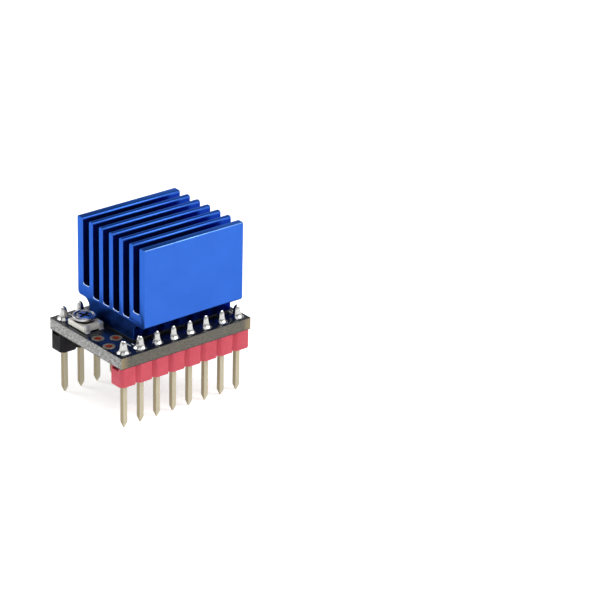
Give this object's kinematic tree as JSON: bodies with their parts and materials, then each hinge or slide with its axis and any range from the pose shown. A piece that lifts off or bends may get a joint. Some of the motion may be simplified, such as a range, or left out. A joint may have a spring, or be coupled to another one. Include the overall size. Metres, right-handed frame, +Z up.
{
  "type": "stepper driver module",
  "caption": "Small plug-in stepper motor driver board with a finned blue heatsink on top, a trimmer with a cross-slot rotor, and red and black pin strips below.",
  "frame": {"origin": "centre of the pin grid, at the level of the pin tips", "axes": "+Z up through the heatsink, +X along the board away from the trimmer, +Y towards the black strip"},
  "size_m": [0.0204, 0.0152, 0.0234],
  "materials": {
    "board_black": "glossy black mask on a grey glass-fibre core",
    "mark_white": "printed ink",
    "tape_black": "matt",
    "blue_anodised": "satin blue anodised",
    "red_plastic": "moulded, satin",
    "black_plastic": "moulded, satin",
    "trimmer_cream": "moulded, matt",
    "tin_metal": "bright tin",
    "track_black": "carbon film",
    "rotor_metal": "bright nickel",
    "spring_brass": "bright",
    "chip_black": "moulded, matt",
    "ceramic_tan": "fired ceramic",
    "hole_copper": "plated copper",
    "pin_metal": "champagne gold flash",
    "solder_silver": "bright solder"
  },
  "bodies": {
    "carrier": {"board": "board_black", "printed_marks": "mark_white", "thermal_tape": "tape_black", "heatsink": "blue_anodised", "red_header": "red_plastic", "black_header": "black_plastic", "trimmer_base": "trimmer_cream", "trimmer_end_tab_1": "tin_metal", "trimmer_end_tab_2": "tin_metal", "trimmer_wiper_tab": "tin_metal", "driver_chip_leads": "tin_metal", "driver_chip_pad": "tin_metal", "component_end_caps": "tin_metal", "trimmer_track": "track_black", "driver_chip": "chip_black", "chip_resistors": "chip_black", "sense_resistor_1": "chip_black", "sense_resistor_2": "chip_black", "capacitor_1": "ceramic_tan", "capacitor_2": "ceramic_tan", "capacitor_3": "ceramic_tan", "test_pad_1": "hole_copper", "test_pad_2": "hole_copper", "test_pad_3": "hole_copper", "power_pin_1": "pin_metal", "power_pin_2": "pin_metal", "power_pin_3": "pin_metal", "power_pin_4": "pin_metal", "power_pin_5": "pin_metal", "power_pin_6": "pin_metal", "power_pin_7": "pin_metal", "power_pin_8": "pin_metal", "logic_pin_1": "pin_metal", "logic_pin_2": "pin_metal", "logic_pin_3": "pin_metal", "logic_pin_4": "pin_metal", "logic_pin_5": "pin_metal", "logic_pin_6": "pin_metal", "logic_pin_7": "pin_metal", "logic_pin_8": "pin_metal", "power_solder_1": "solder_silver", "power_solder_2": "solder_silver", "power_solder_3": "solder_silver", "power_solder_4": "solder_silver", "power_solder_5": "solder_silver", "power_solder_6": "solder_silver", "power_solder_7": "solder_silver", "power_solder_8": "solder_silver", "logic_solder_1": "solder_silver", "logic_solder_2": "solder_silver", "logic_solder_3": "solder_silver", "logic_solder_4": "solder_silver", "logic_solder_5": "solder_silver", "logic_solder_6": "solder_silver", "logic_solder_7": "solder_silver", "logic_solder_8": "solder_silver"},
    "trimmer_turner": {"trimmer_rotor": "rotor_metal", "trimmer_rivet": "spring_brass", "trimmer_wiper": "spring_brass"}
  },
  "joints": [
    {"name": "trimmer_turn", "type": "hinge", "parent": "carrier", "child": "trimmer_turner", "pos_m": [-0.00812, 0.00295, 0.01142], "axis": [0, 0, 1], "range_deg": [-120, 120]}
  ]
}
